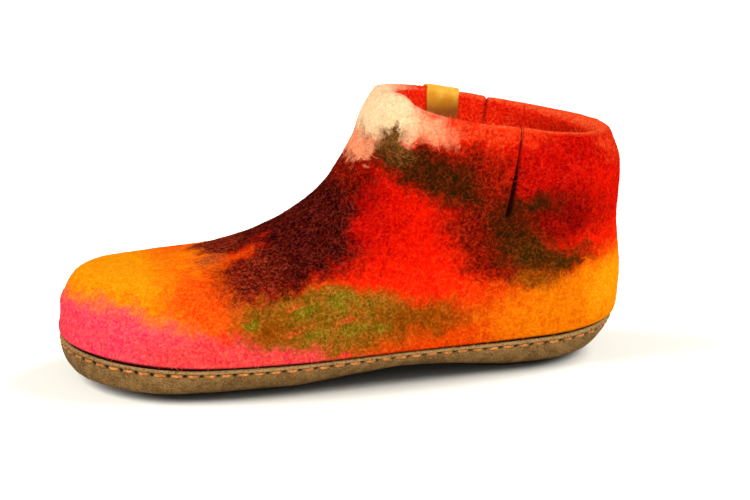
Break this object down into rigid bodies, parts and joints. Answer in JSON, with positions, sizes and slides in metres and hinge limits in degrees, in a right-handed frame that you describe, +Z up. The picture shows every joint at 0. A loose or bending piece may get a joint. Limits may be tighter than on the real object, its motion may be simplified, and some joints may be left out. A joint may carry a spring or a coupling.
{
  "type": "felt ankle slipper",
  "caption": "Ankle-high felt slipper for the left foot: thick hollow felt upper with a slit collar, cupped leather sole, loose felt insole and a small leather pull tab.",
  "frame": {"origin": "on the floor under the middle of the shoe's length and width", "axes": "+X from toe to heel, +Y toward the inner side of the left foot, +Z up"},
  "size_m": [0.2618, 0.1036, 0.1254],
  "materials": {
    "wool_felt": "matte felted wool in soft patches of red, orange, pink, olive and burgundy",
    "suede_leather": "matte grey-brown suede",
    "insole_felt": "matte felted wool",
    "tab_leather": "smooth tan leather with a soft sheen"
  },
  "bodies": {
    "root": {"felt_upper": "wool_felt", "leather_sole": "suede_leather", "felt_insole": "insole_felt", "pull_tab": "tab_leather"}
  },
  "joints": []
}
